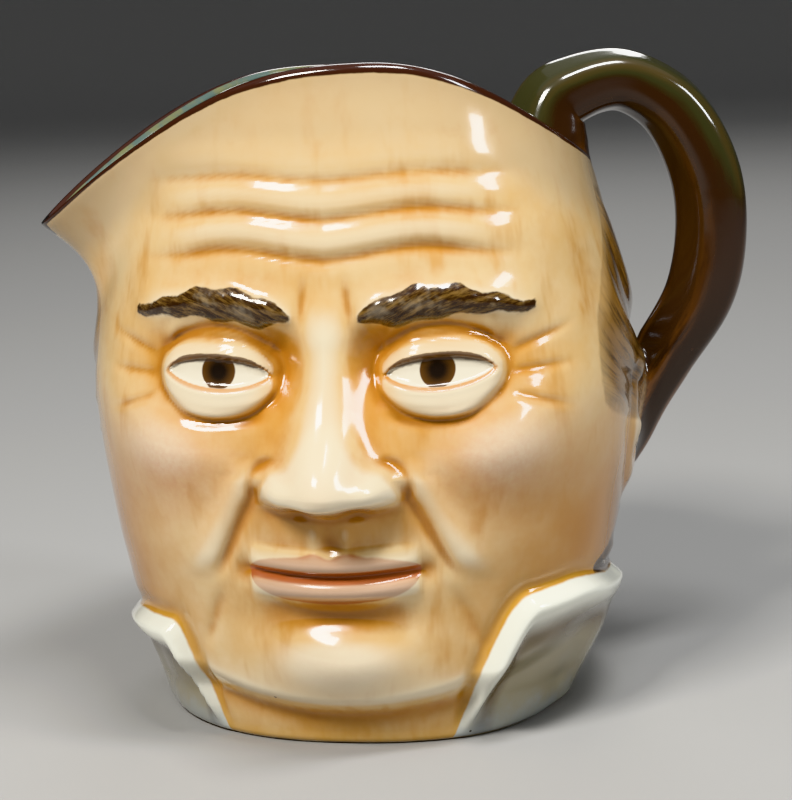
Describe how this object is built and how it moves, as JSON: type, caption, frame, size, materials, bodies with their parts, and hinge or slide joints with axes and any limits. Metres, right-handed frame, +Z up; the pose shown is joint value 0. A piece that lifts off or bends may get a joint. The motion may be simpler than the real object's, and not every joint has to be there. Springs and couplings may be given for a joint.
{
  "type": "toby jug",
  "caption": "Glazed earthenware jug in the form of a head with a wing collar, a pouring lip at one side and a looped handle at the other.",
  "frame": {"origin": "middle of the bounding box's footprint, on the surface that the jug stands on", "axes": "+Z up, +X towards the handle, -X towards the pouring lip, and the face looks towards -Y, turned 15 degrees to the lip"},
  "size_m": [0.1584, 0.1262, 0.1447],
  "materials": {
    "glazed_earthenware": "high gloss underglaze painting"
  },
  "bodies": {
    "root": {"jug": "glazed_earthenware"}
  },
  "joints": []
}
